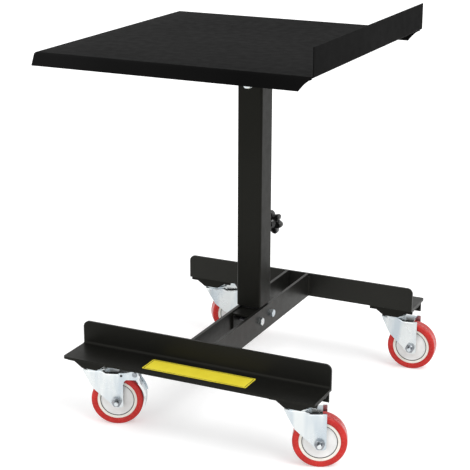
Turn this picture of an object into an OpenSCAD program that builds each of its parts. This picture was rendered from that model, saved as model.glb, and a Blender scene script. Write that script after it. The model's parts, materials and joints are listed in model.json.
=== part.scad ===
// Mobile work table with one height-adjustable post, a tilting tray and four swivel casters.
// Origin: on the floor under the post's axis. X runs along the two legs, the tray's lip is
// at +X, +Z is up. All lengths are in millimetres, all angles in degrees.

/* [Tray] */
// Length of the tray along X
tray_length = 547.5; // [420:0.5:640]
// Depth of the tray along Y
tray_depth = 558.8; // [440:0.1:640]
// Height of the tray's top face above the floor at the lowest setting
tray_height = 735.4; // [650:0.1:900]
// Offset of the tray's middle from the post along X
tray_shift_x = -15.75; // [-40:0.25:40]
// Offset of the tray's middle from the post along Y
tray_shift_y = -55; // [-90:1:60]
// Thickness of the tray's sheet steel
tray_sheet = 2; // [1:0.1:3]
// Depth of the three turned-down flanges, from the top face
flange_depth = 24.8; // [16:0.1:40]
// Height of the turned-up lip above the top face
lip_height = 50.3; // [25:0.1:80]
// Inside radius of the bends in the sheet
bend_radius = 2.5; // [1:0.1:5]
// Angle by which the left flange leans outward from vertical
left_lean = 16; // [0:1:25]
// Length of the chamfer at the lip end of the front and rear flanges
flange_chamfer = 23.5; // [5:0.5:40]

/* [Post] */
// Outer width of the square outer tube
tube_width = 52; // [46:0.5:56]
// Wall of the outer tube
tube_wall = 4; // [2:0.1:5]
// Outer corner radius of the outer tube
tube_corner = 4.5; // [2:0.5:8]
// Outer width of the square inner post
post_width = 38; // [30:0.5:38]
// Wall of the inner post
post_wall = 3; // [2:0.1:4]
// Outer corner radius of the inner post
post_corner = 3; // [1:0.5:6]
// Clear height between the inner post's cap and the clamp bolt
post_clearance = 18; // [4:1:120]
// Length of the plastic sleeve in the outer tube's lower end
sleeve_length = 40; // [20:1:80]
// How far that sleeve stands out below the outer tube
sleeve_lip = 4; // [1:0.5:8]
// Height of the clamp knob's stud above the floor at the lowest setting
stud_height = 341; // [280:1:400]

/* [Tilt] */
// Height of the tilt pivot below the tray's top face
pivot_drop = 46.4; // [44:0.1:56]
// Height of the outer tube's top end above the pivot
tube_over_pivot = 24; // [12:1:25]
// Radius of the curved slot about the pivot
slot_radius = 40; // [34:1:52]
// Angle through which the tray tilts
tilt_range = 45; // [15:1:50]
// Thickness of the saddle's plates
saddle_plate = 4.8; // [3:0.1:6]
// Length of the saddle's top plate along X
saddle_length = 110; // [98:1:160]
// Metal left outside the curved slot
slot_margin = 10; // [9:0.5:14]

/* [Base] */
// Length of each leg along X
leg_length = 522; // [440:1:620]
// Distance between the two legs' inner faces
leg_spacing = 451; // [380:1:520]
// Height of a leg's upright flange
leg_upright = 50.8; // [40:0.1:60]
// Width of a leg's level flange
leg_flange = 84; // [76:0.1:100]
// Thickness of the legs' angle steel
leg_plate = 4.8; // [3:0.1:6]
// Radius of the upright flange's top corners
leg_corner = 12; // [2:0.5:20]
// Thickness of the two flat rails
rail_plate = 6.35; // [4:0.05:8]
// Clear distance between the two rails
rail_gap = 41; // [40:0.5:44]
// Depth by which the post's foot lies below the rails' top edges
foot_drop = 2.2; // [0:0.1:6]
// Length of the foot channel along Y
foot_length = 120; // [90:1:180]
// Plate thickness of the foot channel
foot_plate = 4; // [3:0.1:5]
// Distance between the two foot bolts
foot_bolt_pitch = 54; // [40:1:70]
// Height of the foot bolts below the rails' top edges
foot_bolt_drop = 23; // [18:0.5:28]
// Length of the blank label on the front leg
label_length = 216; // [100:1:300]
// Width of the blank label
label_width = 47; // [20:1:52]

/* [Casters] */
// Wheel diameter
wheel_diameter = 101.6; // [80:0.1:104]
// Width of the tyre
tyre_width = 30; // [24:0.5:32]
// Radial thickness of the tyre
tyre_thickness = 12; // [6:0.5:16]
// Height from the floor to the top of the caster's plate
caster_height = 139.4; // [138:0.1:160]
// Distance from the swivel axis to the axle
caster_trail = 39.5; // [30:0.5:42]
// Distance from a leg's end to the swivel axis along X
caster_inset = 48.5; // [48:0.5:80]
// Distance from a leg's inner face to the swivel axis along Y
caster_offset = 37.8; // [35:0.1:40]
// Length of the caster's plate along X
plate_length = 95; // [84:1:110]
// Width of the caster's plate along Y
plate_width = 60; // [59:0.5:66]
// Swivel angle of the front right caster at rest
swivel_front_right = 20.9; // [-180:0.1:180]
// Swivel angle of the front left caster at rest
swivel_front_left = 23.2; // [-180:0.1:180]
// Swivel angle of the rear right caster at rest
swivel_rear_right = 6.7; // [-180:0.1:180]
// Swivel angle of the rear left caster at rest
swivel_rear_left = 36; // [-180:0.1:180]

/* [Fasteners] */
// Diameter of the foot, pivot, clamp, axle and stud threads
bolt_diameter = 10; // [8:0.5:10]
// Diameter of the seven-lobed clamp knobs
knob_diameter = 51.4; // [40:0.1:60]
// Thickness of the clamp knobs
knob_thickness = 16; // [12:0.5:20]

/* [Hidden] */
$fn = 48;

// Overshoot that keeps cuts clear of the faces they pass through
cut = 1;
// Gap between faces of pieces that move against each other
face_gap = 0.3;
// Radial clearance of a pin that turns in its bore
run_fit = 0.08;
// Radial clearance of a bolt in a plain hole
bolt_fit = 0.4;

// Hexagon heads, nuts and washers follow the thread's diameter
bolt_r = bolt_diameter / 2;
hex_across = bolt_diameter * 1.7;
hex_head = bolt_diameter * 0.64;
hex_nut = bolt_diameter * 0.8;
washer_r = bolt_diameter;
washer_thick = bolt_diameter * 0.16;

// Heights of the base
leg_top = caster_height + leg_upright;
flange_top = caster_height + leg_plate;
rail_outer = rail_gap / 2 + rail_plate;
foot_top = leg_top - foot_drop;
foot_floor = caster_height + leg_plate;
foot_bolt_z = leg_top - foot_bolt_drop;
leg_inner = leg_spacing / 2;
leg_outer = leg_inner + leg_flange;
weld_leg = 4;
label_thick = 0.3;
label_shift = 12;
label_set = 41;
label_y = leg_inner + leg_plate + label_set;

// Post
tube_half = tube_width / 2;
bore_half = tube_half - tube_wall;
sleeve_bottom = leg_top + face_gap;
tube_bottom = sleeve_bottom + sleeve_lip;
tube_inner_corner = max(tube_corner - tube_wall, 0.5);
post_inner_corner = max(post_corner - post_wall, 0.5);
cap_thick = 4;
cap_plug = 14;
cap_inner = post_width / 2 - post_wall;
boss_r = 11;
boss_length = 12;
stud_tip = post_width / 2 + face_gap;
knob_reach = 38;
stud_knob_y = tube_half + boss_length + knob_reach;

// Tilt
pivot_z = tray_height - pivot_drop;
tube_top = pivot_z + tube_over_pivot;
saddle_top = tray_height - tray_sheet;
ear_inner = tube_half + face_gap;
ear_outer = ear_inner + saddle_plate;
slot_half = bolt_r + bolt_fit;
ear_radius = slot_radius + slot_half + slot_margin / 2;
ear_back = 14;
ear_front_angle = tilt_range + 16;
clamp_z = pivot_z - slot_radius;
post_top = clamp_z - bolt_r - post_clearance - cap_thick;
tilt_knob_y = ear_outer + washer_thick + 6;

// Tray
tray_x0 = tray_shift_x - tray_length / 2;
tray_x1 = tray_shift_x + tray_length / 2;
tray_y0 = tray_shift_y - tray_depth / 2;
tray_y1 = tray_shift_y + tray_depth / 2;
bend_out = bend_radius + tray_sheet;
left_wall = (flange_depth - bend_out * (1 - sin(left_lean))) / cos(left_lean);
left_centre_x = tray_x0 + bend_out * cos(left_lean) + left_wall * sin(left_lean);

// Casters
caster_span_x = leg_length - 2 * caster_inset;
caster_span_y = leg_spacing + 2 * caster_offset;
wheel_r = wheel_diameter / 2;
tyre_half = tyre_width / 2;
tyre_bevel = 2;
tyre_inner = wheel_r - tyre_thickness;
tyre_crown = 0.6;
core_half = tyre_half - 1.5;
groove_r = tyre_inner - 5.5;
guard_r = groove_r - 1.2;
guard_thick = 1.2;
guard_face = tyre_half - 2.6;
hub_r = 11;
axle_r = bolt_r;
fork_outer = tyre_half + 7;
fork_plate = 3;
fork_inner = fork_outer - fork_plate;
hub_half = fork_inner - face_gap;
crown_top = caster_height - 24.4;
crown_r = 26;
crown_tail = caster_trail + 4.5;
plate_web = 4;
skirt_plate = 3;
skirt_bottom = caster_height - 8.7;
skirt_low = caster_height - 19.9;
skirt_wide = 33;
skirt_narrow = 16;
cup_r = 22;
cup_bottom = caster_height - 11;
race_r = 24.5;
kingpin_r = 6;
kingpin_head_r = 9;
kingpin_head = 5;
screw_r = 4;
screw_across = 13;
screw_head = 5.3;
screw_bite = leg_plate - 0.8;
screw_x = plate_length / 2 - 9.5;
screw_y = plate_width / 2 - skirt_plate - 8.2;
rivet_r = 3;
// Brake pivot in the fork's own frame: distance behind the swivel axis, and height
brake_behind = 35.5;
brake_rise = 56.2;
brake_x = caster_trail + brake_behind;
brake_z = wheel_r + brake_rise;
pedal_gap = 3;
pedal_plate = 2.2;
pedal_half = fork_inner - 1.5;
pedal_low = -12;
pedal_high = 41;

// Each caster: name, signs of its corner along X and Y, swivel angle, and brake
CASTERS = [
    ["front_right", 1, -1, swivel_front_right, false],
    ["front_left", -1, -1, swivel_front_left, true],
    ["rear_right", 1, 1, swivel_rear_right, false],
    ["rear_left", -1, 1, swivel_rear_left, true]
];

// ---------- shared shapes ----------

// Round bar along +Y from y0 to y1 at height z
module bar_y(r, y0, y1, x = 0, z = 0) {
    translate([x, y1, z]) rotate([90, 0, 0]) cylinder(r = r, h = y1 - y0);
}

// Round bar along +X from x0 to x1
module bar_x(r, x0, x1, y = 0, z = 0) {
    translate([x0, y, z]) rotate([0, 90, 0]) cylinder(r = r, h = x1 - x0);
}

// Hexagonal bar along +Z, across is the width over flats
module hex_bar(across, h) {
    cylinder(d = across / cos(30), h = h, $fn = 6);
}

// Rectangle with two rounded upper corners, in the XY plane, from the origin up
module round_top(width, height, r) {
    flat_half = width / 2 - r;
    union() {
        translate([-width / 2, 0]) square([width, height - r]);
        translate([-flat_half, 0]) square([2 * flat_half, height]);
        for (side = [-1, 1]) translate([side * flat_half, height - r]) circle(r = r);
    }
}

// Square with rounded corners about the origin, in the XY plane
module round_square(width, r) {
    flat = width - 2 * r;
    union() {
        square([width, flat], center = true);
        square([flat, width], center = true);
        for (sx = [-1, 1], sy = [-1, 1]) translate([sx * flat / 2, sy * flat / 2]) circle(r = r);
    }
}

// Square tube from z0 to z1, with its outer and inner corner radii
module square_tube(outer, inner, outer_r, inner_r, z0, z1) {
    translate([0, 0, z0]) linear_extrude(z1 - z0) difference() {
        round_square(outer, outer_r);
        round_square(inner, inner_r);
    }
}

// Ring sector in the XY plane between two angles less than 180 apart
module sector(r0, r1, a0, a1) {
    reach = 2 * r1;
    intersection() {
        difference() {
            circle(r = r1);
            if (r0 > 0) circle(r = r0);
        }
        polygon([
            [0, 0],
            [reach * cos(a0), reach * sin(a0)],
            [reach * cos((a0 + a1) / 2), reach * sin((a0 + a1) / 2)],
            [reach * cos(a1), reach * sin(a1)]
        ]);
    }
}

// ---------- base ----------

// Angle-steel leg; side -1 is the front leg and 1 the rear one
module leg(side) {
    edge_r = leg_corner / 2;
    difference() {
        union() {
            translate([0, side > 0 ? leg_inner + leg_plate : -leg_inner, caster_height])
                rotate([90, 0, 0])
                linear_extrude(leg_plate) round_top(leg_length, leg_upright, leg_corner);
            scale_y(side) translate([0, leg_inner, caster_height])
                linear_extrude(leg_plate) round_top(leg_length, leg_flange, edge_r);
        }
        for (spot = CASTERS) if (spot[2] == side) at_caster(spot) screw_places()
            translate([0, 0, caster_height - cut]) cylinder(r = screw_r, h = screw_bite + cut);
    }
}

// Mirrors its children across Y when side is negative
module scale_y(side) {
    if (side > 0) children();
    else mirror([0, 1, 0]) children();
}

module rail(side) {
    x0 = side > 0 ? rail_gap / 2 : -rail_outer;
    difference() {
        translate([x0, -leg_inner, caster_height]) cube([rail_plate, leg_spacing, leg_upright]);
        foot_bolt_holes();
    }
}

module foot_bolt_holes() {
    reach = rail_outer + cut;
    for (side = [-1, 1]) {
        bar_x(bolt_r + bolt_fit, -reach, reach, side * foot_bolt_pitch / 2, foot_bolt_z);
    }
}

// Upright fillet beads between the rails' ends and the legs
module rail_welds() {
    color("dimgray")
    for (sx = [-1, 1], sy = [-1, 1]) {
        mirror([sx < 0 ? 1 : 0, 0, 0]) mirror([0, sy < 0 ? 1 : 0, 0])
            translate([rail_outer, leg_inner, caster_height])
            linear_extrude(leg_upright - leg_plate)
            polygon([[0, 0], [weld_leg, 0], [0, -weld_leg]]);
    }
}

// Channel between the rails, open side down, that carries the inner post
module post_foot() {
    color("dimgray")
    difference() {
        translate([-rail_gap / 2, -foot_length / 2, foot_floor])
            cube([rail_gap, foot_length, foot_top - foot_floor]);
        translate([-rail_gap / 2 + foot_plate, -foot_length / 2 - cut, foot_floor - cut])
            cube([rail_gap - 2 * foot_plate, foot_length + 2 * cut,
                foot_top - foot_floor - foot_plate + cut]);
        foot_bolt_holes();
    }
}

module inner_post() {
    color("silver")
    square_tube(post_width, 2 * cap_inner, post_corner, post_inner_corner, foot_top, post_top);
}

// Plastic cap that guides the inner post's top end in the outer tube
module inner_post_cap() {
    rim = 2 * (bore_half - face_gap);
    color("black") union() {
        translate([0, 0, post_top]) linear_extrude(cap_thick) round_square(rim, tube_inner_corner);
        translate([0, 0, post_top - cap_plug]) linear_extrude(cap_plug)
            round_square(2 * cap_inner, post_inner_corner);
    }
}

module foot_bolts() {
    nut_side = rail_outer + washer_thick + hex_nut + 2;
    color("lightgray")
    for (side = [-1, 1]) {
        bar_x(bolt_r, -nut_side, rail_outer, side * foot_bolt_pitch / 2, foot_bolt_z);
        translate([rail_outer, side * foot_bolt_pitch / 2, foot_bolt_z])
            rotate([0, 90, 0]) hex_bar(hex_across, hex_head);
    }
}

module foot_nuts() {
    color("lightgray")
    for (side = [-1, 1]) translate([-rail_outer, side * foot_bolt_pitch / 2, foot_bolt_z])
        rotate([0, -90, 0])
        difference() {
            union() {
                cylinder(r = washer_r, h = washer_thick);
                hex_bar(hex_across, washer_thick + hex_nut);
            }
            translate([0, 0, -cut]) cylinder(r = bolt_r, h = washer_thick + hex_nut + 2 * cut);
        }
}

module blank_label() {
    color("gold")
    translate([label_shift - label_length / 2, -label_y - label_width / 2, flange_top])
        cube([label_length, label_width, label_thick]);
}

// ---------- fixed caster parts ----------

module at_caster(spot) {
    translate([spot[1] * caster_span_x / 2, spot[2] * caster_span_y / 2, 0]) children();
}

module screw_places() {
    for (sx = [-1, 1], sy = [-1, 1]) translate([sx * screw_x, sy * screw_y, 0]) children();
}

// Pressed plate with a cut-back front skirt, a full rear skirt and a cup for the bearing
module caster_plate(spot) {
    half = plate_length / 2;
    color("dimgray")
    at_caster(spot)
    difference() {
        union() {
            translate([-half, -plate_width / 2, caster_height - plate_web])
                cube([plate_length, plate_width, plate_web]);
            translate([0, -plate_width / 2 + skirt_plate, 0]) rotate([90, 0, 0])
                linear_extrude(skirt_plate) polygon([
                    [-half, caster_height - plate_web],
                    [-half, skirt_bottom],
                    [-skirt_wide, skirt_bottom],
                    [-skirt_narrow, skirt_low],
                    [skirt_narrow, skirt_low],
                    [skirt_wide, skirt_bottom],
                    [half, skirt_bottom],
                    [half, caster_height - plate_web]
                ]);
            translate([-half, plate_width / 2 - skirt_plate, skirt_low])
                cube([plate_length, skirt_plate, caster_height - plate_web - skirt_low]);
            translate([0, 0, cup_bottom]) cylinder(r = cup_r, h = caster_height - cup_bottom);
        }
        translate([0, 0, cup_bottom - cut])
            cylinder(r = kingpin_r, h = caster_height - cup_bottom + 2 * cut);
        screw_places() translate([0, 0, caster_height - plate_web - cut])
            cylinder(r = screw_r + bolt_fit, h = plate_web + 2 * cut);
    }
}

module caster_screws() {
    color("lightgray")
    for (spot = CASTERS) at_caster(spot) screw_places() {
        translate([0, 0, caster_height - plate_web])
            cylinder(r = screw_r, h = plate_web + screw_bite);
        translate([0, 0, caster_height - plate_web - screw_head])
            hex_bar(screw_across, screw_head);
    }
}

// Riveted pins that hold the forks, each with its round head under the crown
module kingpins() {
    head_top = crown_top - fork_plate - face_gap;
    color("lightgray")
    for (spot = CASTERS) at_caster(spot) {
        translate([0, 0, head_top]) cylinder(r = kingpin_r, h = caster_height - head_top);
        translate([0, 0, head_top - kingpin_head])
            cylinder(r = kingpin_head_r, h = kingpin_head);
    }
}

// ---------- column ----------

module outer_post() {
    boss_hole = bolt_r + bolt_fit;
    color("dimgray")
    difference() {
        square_tube(tube_width, 2 * bore_half, tube_corner, tube_inner_corner,
            tube_bottom, tube_top);
        bar_y(bolt_r, -tube_width, tube_width, 0, pivot_z);
        bar_y(bolt_r, -tube_width, tube_width, 0, clamp_z);
        bar_y(boss_hole, 0, tube_width, 0, stud_height);
    }
}

// Plastic sleeve that guides the outer tube's lower end on the inner post
module lower_sleeve() {
    color("black")
    square_tube(2 * bore_half, post_width + 2 * face_gap, tube_inner_corner, post_corner,
        sleeve_bottom, sleeve_bottom + sleeve_length);
}

module stud_boss() {
    color("dimgray")
    difference() {
        bar_y(boss_r, tube_half, tube_half + boss_length, 0, stud_height);
        bar_y(bolt_r + run_fit, tube_half - cut, tube_half + boss_length + cut, 0, stud_height);
    }
}

// Hexagon bolt along +Y through the column, with its head at the front
module cross_bolt(z, y_end) {
    head_y = -ear_outer - face_gap - washer_thick;
    bar_y(bolt_r, head_y, y_end, 0, z);
    bar_y(washer_r, head_y, head_y + washer_thick, 0, z);
    translate([0, head_y, z]) rotate([90, 0, 0]) hex_bar(hex_across, hex_head);
}

module pivot_bolt() {
    color("lightgray") cross_bolt(pivot_z, ear_outer + face_gap + washer_thick + hex_nut + 2);
}

module clamp_bolt() {
    color("lightgray") cross_bolt(clamp_z, tilt_knob_y + knob_thickness - 4);
}

module pivot_nut() {
    nut_y = ear_outer + face_gap;
    color("lightgray")
    translate([0, nut_y, pivot_z]) rotate([-90, 0, 0]) difference() {
        union() {
            cylinder(r = washer_r, h = washer_thick);
            hex_bar(hex_across, washer_thick + hex_nut);
        }
        translate([0, 0, -cut]) cylinder(r = bolt_r, h = washer_thick + hex_nut + 2 * cut);
    }
}

// ---------- clamp knobs ----------

// Outline of a star knob with seven lobes
module star_outline() {
    lobes = 7;
    lobe_r = knob_diameter * 0.115;
    body_r = knob_diameter * 0.39;
    difference() {
        union() {
            circle(r = body_r);
            for (i = [0 : lobes - 1]) rotate(i * 360 / lobes)
                translate([knob_diameter / 2 - lobe_r, 0]) circle(r = lobe_r);
        }
        for (i = [0 : lobes - 1]) rotate((i + 0.5) * 360 / lobes)
            translate([body_r * 1.12, 0]) circle(r = lobe_r * 0.9);
    }
}

// Knob on +Y with its near face at y, drilled from the near side
module knob_on_y(y, z, turn, bore_r, bore_depth, hub_length) {
    translate([0, y, z]) rotate([-90, 0, 0]) difference() {
        union() {
            rotate([0, 0, turn]) linear_extrude(knob_thickness) star_outline();
            translate([0, 0, -hub_length]) cylinder(r = knob_diameter * 0.2, h = hub_length);
        }
        translate([0, 0, -hub_length - cut])
            cylinder(r = bore_r, h = bore_depth + hub_length + cut);
    }
}

module height_knob() {
    color("black") knob_on_y(stud_knob_y, stud_height, 9, bolt_r, knob_thickness - 4, 8);
}

module height_stud() {
    color("lightgray") bar_y(bolt_r, stud_tip, stud_knob_y + knob_thickness - 4, 0, stud_height);
}

module tilt_knob() {
    color("black")
    knob_on_y(tilt_knob_y, clamp_z, 20, bolt_r + run_fit, knob_thickness - 3, 6 - face_gap);
}

// ---------- tray ----------

// Section of the left bend and its leaning flange, in the XZ plane
module left_bend() {
    steps = 8;
    turn = 90 - left_lean;
    angles = [for (i = [0 : steps]) 90 + turn * i / steps];
    foot = [-left_wall * sin(left_lean), -left_wall * cos(left_lean)];
    translate([left_centre_x, tray_height - bend_out]) polygon(concat(
        [for (a = angles) bend_out * [cos(a), sin(a)]],
        [
            bend_out * [-cos(left_lean), sin(left_lean)] + foot,
            bend_radius * [-cos(left_lean), sin(left_lean)] + foot
        ],
        [for (i = [steps : -1 : 0]) bend_radius * [cos(angles[i]), sin(angles[i])]]
    ));
}

// Section of the right bend and the lip above it, in the XZ plane
module right_bend() {
    centre_x = tray_x1 - bend_out;
    centre_z = tray_height + bend_radius;
    translate([centre_x, centre_z]) sector(bend_radius, bend_out, -90, 0);
    translate([tray_x1 - tray_sheet, centre_z])
        square([tray_sheet, lip_height - bend_radius]);
}

// Front or rear flange: a bend, and a flat wall with a chamfered right end
module long_flange(side) {
    x_left = left_centre_x;
    x_right = tray_x1 - bend_out;
    x_foot = tray_x0 + tray_sheet / cos(left_lean);
    y_edge = side > 0 ? tray_y1 : -tray_y0;
    wall = flange_depth - bend_out;
    scale_y(side) {
        translate([x_left, y_edge - bend_out, tray_height - bend_out]) rotate([90, 0, 90])
            linear_extrude(x_right - x_left) sector(bend_radius, bend_out, 0, 90);
        translate([0, y_edge, tray_height - bend_out]) rotate([90, 0, 0])
            linear_extrude(tray_sheet) polygon([
                [x_left, 0],
                [x_foot + wall * tan(left_lean), 0],
                [x_foot, -wall],
                [x_right - flange_chamfer, -wall],
                [x_right, 0]
            ]);
    }
}

module tray() {
    flat_x0 = left_centre_x;
    flat_x1 = tray_x1 - bend_out;
    color([0.14, 0.14, 0.13]) union() {
        translate([flat_x0, tray_y0 + bend_out, tray_height - tray_sheet])
            cube([flat_x1 - flat_x0, tray_depth - 2 * bend_out, tray_sheet]);
        translate([0, tray_y1 - bend_out, 0]) rotate([90, 0, 0])
            linear_extrude(tray_depth - 2 * bend_out) left_bend();
        translate([0, tray_y1, 0]) rotate([90, 0, 0])
            linear_extrude(tray_depth) right_bend();
        long_flange(1);
        long_flange(-1);
    }
}

// Outline of a saddle ear about the pivot, in the XZ plane
module ear_outline() {
    top = saddle_top - saddle_plate - pivot_z;
    front = ear_radius * sin(ear_front_angle);
    intersection() {
        union() {
            circle(r = ear_radius);
            translate([-ear_radius, 0]) square([2 * ear_radius, top]);
        }
        polygon([
            [-ear_back, top],
            [-ear_back, -ear_radius],
            [front, -ear_radius],
            [front, top]
        ]);
    }
}

// Inverted U under the tray whose ears hang on the pivot bolt
module tilt_saddle() {
    color("dimgray") union() {
        translate([-saddle_length / 2, -ear_outer, saddle_top - saddle_plate])
            cube([saddle_length, 2 * ear_outer, saddle_plate]);
        for (y1 = [-ear_inner, ear_outer]) translate([0, y1, pivot_z]) rotate([90, 0, 0])
            linear_extrude(saddle_plate) difference() {
                ear_outline();
                circle(r = bolt_r + run_fit);
                sector(slot_radius - slot_half, slot_radius + slot_half, -90, tilt_range - 90);
                for (a = [-90, tilt_range - 90])
                    translate([slot_radius * cos(a), slot_radius * sin(a)]) circle(r = slot_half);
            }
    }
}

// ---------- swivelling caster parts ----------

// Places children, drawn with the trail along +X, at a caster's corner and angle
module swivelled(spot) {
    at_caster(spot) rotate([0, 0, spot[3]]) children();
}

// Side of the fork: x is the distance behind the swivel axis, y the height
module fork_side(braked) {
    crown_low = crown_top - 5;
    tail = caster_trail + 12.5;
    foot = wheel_r - 12.8;
    polygon(concat(
        [
            [-crown_r, crown_top],
            [-6, wheel_r + 25.2],
            [caster_trail - 17.5, wheel_r + 0.7],
            [caster_trail - 5.5, foot + 0.5],
            [caster_trail - 4, foot],
            [caster_trail + 9, foot],
            [tail, foot + 4]
        ],
        braked
            ? [
                [tail, wheel_r + 33],
                [tail + 6, brake_z - 11],
                [brake_x + 8, brake_z - 11],
                [brake_x + 8, brake_z + 5],
                [brake_x - 10, brake_z + 5],
                [tail, crown_low]
            ]
            : [[tail, crown_low]],
        [[crown_r - 6, crown_low], [crown_r - 14, crown_top]]
    ));
}

module fork(spot) {
    crown_low = crown_top - 5;
    color("lightgray")
    swivelled(spot)
    difference() {
        union() {
            for (y1 = [fork_outer, -fork_inner]) translate([0, y1, 0]) rotate([90, 0, 0])
                linear_extrude(fork_plate) fork_side(spot[4]);
            translate([0, fork_inner, 0]) rotate([90, 0, 0]) linear_extrude(2 * fork_inner)
                polygon([
                    [-crown_r, crown_top - fork_plate],
                    [crown_r - 14, crown_top - fork_plate],
                    [crown_r - 6, crown_low - fork_plate],
                    [crown_tail, crown_low - fork_plate],
                    [crown_tail, crown_low],
                    [crown_r - 6, crown_low],
                    [crown_r - 14, crown_top],
                    [-crown_r, crown_top]
                ]);
        }
        cylinder(r = kingpin_r + run_fit, h = caster_height);
        bar_y(axle_r, -fork_outer - cut, fork_outer + cut, caster_trail, wheel_r);
        if (spot[4]) bar_y(rivet_r, -fork_outer - cut, fork_outer + cut, brake_x, brake_z);
    }
}

// Domed bearing race that sits on the fork's crown
module race(spot) {
    height = cup_bottom - face_gap - crown_top;
    color("lightgray")
    swivelled(spot) translate([0, 0, crown_top]) rotate_extrude() polygon([
        [kingpin_r + run_fit, 0],
        [race_r, 0],
        [race_r, height * 0.45],
        [race_r * 0.86, height],
        [kingpin_r + run_fit, height]
    ]);
}

// Axle bolt with its head and nut outside the fork, and the brake rivet where there is one
module axle(spot) {
    tip = 6;
    color("lightgray")
    swivelled(spot) {
        bar_y(axle_r, -fork_outer - hex_nut - tip, fork_outer, caster_trail, wheel_r);
        translate([caster_trail, fork_outer, wheel_r]) rotate([-90, 0, 0])
            hex_bar(hex_across, hex_head);
        translate([caster_trail, -fork_outer, wheel_r]) rotate([90, 0, 0]) difference() {
            hex_bar(hex_across, hex_nut);
            translate([0, 0, -cut]) cylinder(r = axle_r, h = hex_nut + 2 * cut);
        }
        if (spot[4]) {
            bar_y(rivet_r, -fork_outer - 1.5, fork_outer + 1.5, brake_x, brake_z);
            for (y0 = [-fork_outer - 1.5, fork_outer])
                bar_y(rivet_r * 1.8, y0, y0 + 1.5, brake_x, brake_z);
        }
    }
}

// Places a solid of revolution on the wheel's axis
module on_axle(spot) {
    swivelled(spot) translate([caster_trail, 0, wheel_r]) rotate([90, 0, 0]) children();
}

module tyre(spot) {
    color([0.8, 0.1, 0.1])
    on_axle(spot) rotate_extrude($fn = 96) polygon([
        [tyre_inner, -tyre_half + tyre_crown],
        [wheel_r - tyre_bevel, -tyre_half],
        [wheel_r, -tyre_half + tyre_bevel],
        [wheel_r, tyre_half - tyre_bevel],
        [wheel_r - tyre_bevel, tyre_half],
        [tyre_inner, tyre_half - tyre_crown]
    ]);
}

// Wheel centre: rim, web and hub
module core(spot) {
    web_half = 3;
    rim = 3;
    color("ivory")
    on_axle(spot) rotate_extrude($fn = 96) polygon([
        [axle_r + run_fit, -hub_half],
        [hub_r, -hub_half],
        [hub_r, -web_half],
        [groove_r - rim, -web_half],
        [groove_r, -core_half],
        [tyre_inner, -core_half],
        [tyre_inner, core_half],
        [groove_r, core_half],
        [groove_r - rim, web_half],
        [hub_r, web_half],
        [hub_r, hub_half],
        [axle_r + run_fit, hub_half]
    ]);
}

// Two thread-guard discs pressed on the hub's ends
module guards(spot) {
    color("gainsboro")
    on_axle(spot) for (y0 = [-guard_face, guard_face - guard_thick])
        translate([0, 0, y0]) difference() {
            cylinder(r = guard_r, h = guard_thick, $fn = 96);
            translate([0, 0, -cut]) cylinder(r = hub_r + face_gap, h = guard_thick + 2 * cut);
        }
}

// Brake pedal: a strip curved round the tyre, hung on the rivet by its cheeks
module pedal(spot) {
    pad_in = wheel_r + pedal_gap;
    pad_out = pad_in + pedal_plate;
    cheek = 3;
    cheek_turn = 30;
    arm_root = pedal_high - 4;
    top_in = (pad_in + 0.7) * [cos(arm_root), sin(arm_root)];
    top_out = (pad_out + cheek - 0.7) * [cos(arm_root), sin(arm_root)];
    pin = [brake_x - caster_trail, brake_z - wheel_r];
    color("lightgray")
    swivelled(spot) translate([caster_trail, 0, wheel_r]) rotate([90, 0, 0]) difference() {
        union() {
            translate([0, 0, -pedal_half]) linear_extrude(2 * pedal_half)
                sector(pad_in, pad_out, pedal_low, pedal_high);
            for (z0 = [-pedal_half, pedal_half - pedal_plate]) translate([0, 0, z0])
                linear_extrude(pedal_plate) union() {
                    sector(pad_in, pad_out + cheek, pedal_high - cheek_turn, pedal_high);
                    polygon([top_in, top_out, pin + [5.5, -2], pin + [-5.5, -2]]);
                    translate(pin) circle(r = rivet_r + 3);
                }
        }
        translate([pin[0], pin[1], -pedal_half - cut])
            cylinder(r = rivet_r + run_fit, h = 2 * pedal_half + 2 * cut);
    }
}

color("dimgray") leg(-1);  // front_leg
color("dimgray") leg(1);  // rear_leg
color("dimgray") rail(-1);  // left_rail
color("dimgray") rail(1);  // right_rail
rail_welds();
post_foot();
inner_post();
inner_post_cap();
foot_bolts();
foot_nuts();
blank_label();
caster_screws();
kingpins();
outer_post();
lower_sleeve();
stud_boss();
pivot_bolt();
clamp_bolt();
pivot_nut();
height_knob();
height_stud();
tray();
tilt_saddle();
tilt_knob();
for (spot = CASTERS) {
    caster_plate(spot);
    fork(spot);
    race(spot);
    axle(spot);
    tyre(spot);
    core(spot);
    guards(spot);
    if (spot[4]) pedal(spot);
}
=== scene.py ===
"""Looks of a mobile tilting work table, built around its CAD frame. Lengths are in metres."""

import json
import math

import bmesh
import bpy
from mathutils import Matrix, Vector
from mathutils.geometry import tessellate_polygon


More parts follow.
